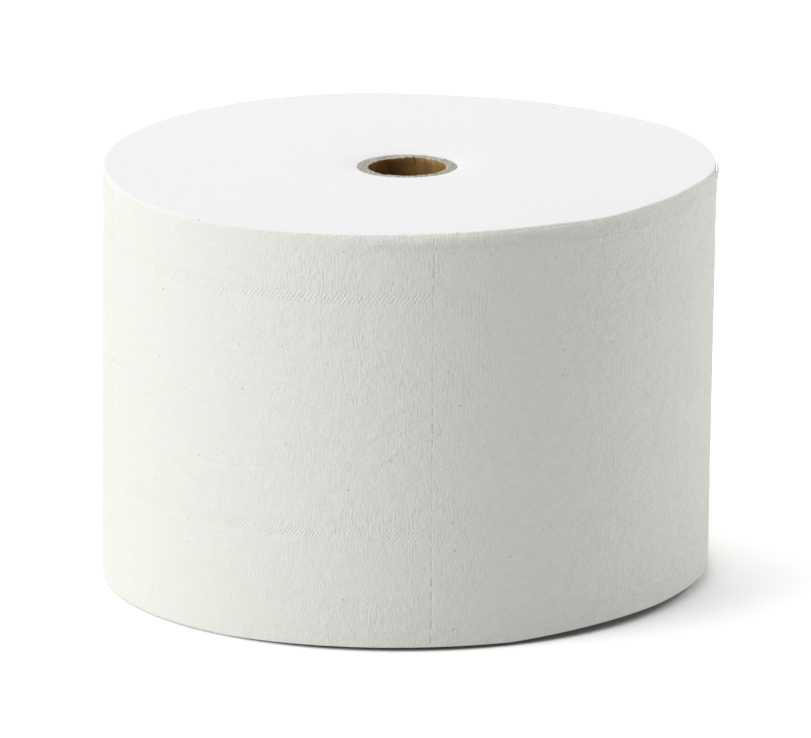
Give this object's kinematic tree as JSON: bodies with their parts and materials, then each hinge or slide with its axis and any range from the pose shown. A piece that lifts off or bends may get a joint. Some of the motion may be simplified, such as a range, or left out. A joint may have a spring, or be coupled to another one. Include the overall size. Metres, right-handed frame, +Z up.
{
  "type": "toilet paper roll",
  "caption": "Compact roll of white toilet tissue on a narrow cardboard core, standing on end with the end of the sheet slightly loose.",
  "frame": {"origin": "middle of the end that the roll stands on, at table height", "axes": "+Z up along the bore of the core, -Y towards the viewer, +X to the viewer's right"},
  "size_m": [0.1338, 0.1337, 0.092],
  "materials": {
    "tissue": "soft matt creped tissue with fine streaks, grey fibre specks and two narrow embossed bands",
    "cardboard": "raw spiral-wound paperboard, grey on its cut edge and brown in its bore"
  },
  "bodies": {
    "root": {"wound_tissue": "tissue", "cardboard_core": "cardboard"}
  },
  "joints": []
}
